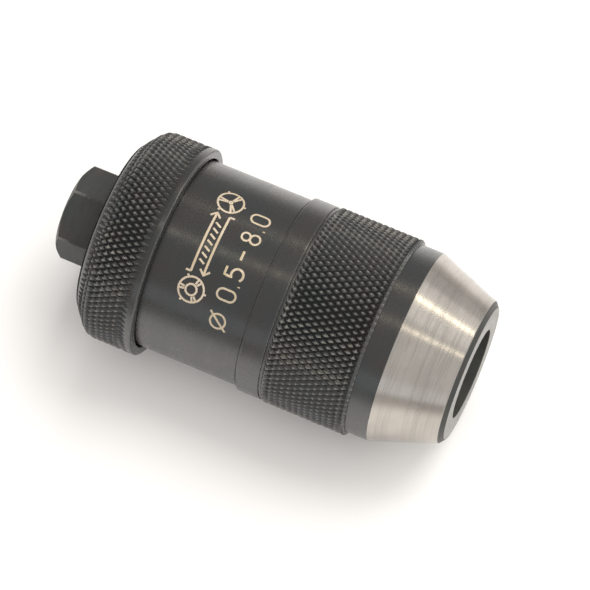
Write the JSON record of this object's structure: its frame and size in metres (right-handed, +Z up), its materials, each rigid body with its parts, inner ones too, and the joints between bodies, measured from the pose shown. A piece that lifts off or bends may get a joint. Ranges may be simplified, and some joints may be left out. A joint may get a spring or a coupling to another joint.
{
  "type": "keyless drill chuck",
  "caption": "Self-tightening keyless drill chuck with a knurled grip ring and hood, a ground nose cone, a threaded spindle socket and sliding jaws.",
  "frame": {"origin": "centre of the spindle thread's mouth, in the plane of the hub's rear face", "axes": "+X along the chuck's axis towards the nose, +Z up through a corner of the hexagon boss, Y across"},
  "size_m": [0.075, 0.0382, 0.0383],
  "materials": {
    "black_oxide": "black oxide on turned steel, satin",
    "ground_steel": "cylindrically ground, bare",
    "dark_steel": "hardened, dark, oiled",
    "hardened_steel": "hardened and ground",
    "spring_steel": "rolled, blue-grey",
    "jaw_steel": "hardened, ground flanks",
    "polished_steel": "polished ball steel",
    "cage_brass": "turned bearing bronze",
    "seal_rubber": "moulded nitrile rubber",
    "mark_gold": "laser mark on black oxide"
  },
  "bodies": {
    "spindle_side": {"hub": "black_oxide", "grip_ring": "black_oxide", "ring_keys": "hardened_steel", "wave_washer": "spring_steel", "hub_seal": "seal_rubber", "front_race": "hardened_steel"},
    "turning_side": {"sleeve": "black_oxide", "hood": "black_oxide", "joint_ring": "black_oxide", "jaw_guide": "dark_steel", "guide_keys": "hardened_steel", "guide_shim": "spring_steel", "rear_race": "hardened_steel", "sleeve_bush": "cage_brass"},
    "ball_train": {"ball_cage": "cage_brass", "thrust_balls": "polished_steel"},
    "screw": {"draw_screw": "hardened_steel"},
    "jaw_one": {"jaw_1": "jaw_steel"},
    "jaw_two": {"jaw_2": "jaw_steel"},
    "jaw_three": {"jaw_3": "jaw_steel"}
  },
  "joints": [
    {"name": "sleeve_turn", "type": "hinge", "parent": "spindle_side", "child": "turning_side", "pos_m": [0.02, 0, 0], "axis": [-1, 0, 0], "range_deg": [0, 990]},
    {"name": "ball_roll", "type": "hinge", "parent": "spindle_side", "child": "ball_train", "pos_m": [0.02295, 0, 0], "axis": [-1, 0, 0], "range_deg": [0, 496]},
    {"name": "screw_slide", "type": "slide", "parent": "turning_side", "child": "screw", "axis": [1, 0, 0], "range_m": [0, 0.01101]},
    {"name": "jaw_1_slide", "type": "slide", "parent": "turning_side", "child": "jaw_one", "axis": [0.9397, 0.2962, -0.171], "range_m": [0, 0.01172]},
    {"name": "jaw_2_slide", "type": "slide", "parent": "turning_side", "child": "jaw_two", "axis": [0.9397, 0, 0.342], "range_m": [0, 0.01172]},
    {"name": "jaw_3_slide", "type": "slide", "parent": "turning_side", "child": "jaw_three", "axis": [0.9397, -0.2962, -0.171], "range_m": [0, 0.01172]}
  ],
  "couplings": [
    {"joint": "ball_roll", "follows": "sleeve_turn", "ratio": 0.5},
    {"joint": "screw_slide", "follows": "sleeve_turn", "m_per_rad": 0.00063662},
    {"joint": "jaw_1_slide", "follows": "sleeve_turn", "m_per_rad": 0.00067748},
    {"joint": "jaw_2_slide", "follows": "sleeve_turn", "m_per_rad": 0.00067748},
    {"joint": "jaw_3_slide", "follows": "sleeve_turn", "m_per_rad": 0.00067748}
  ]
}
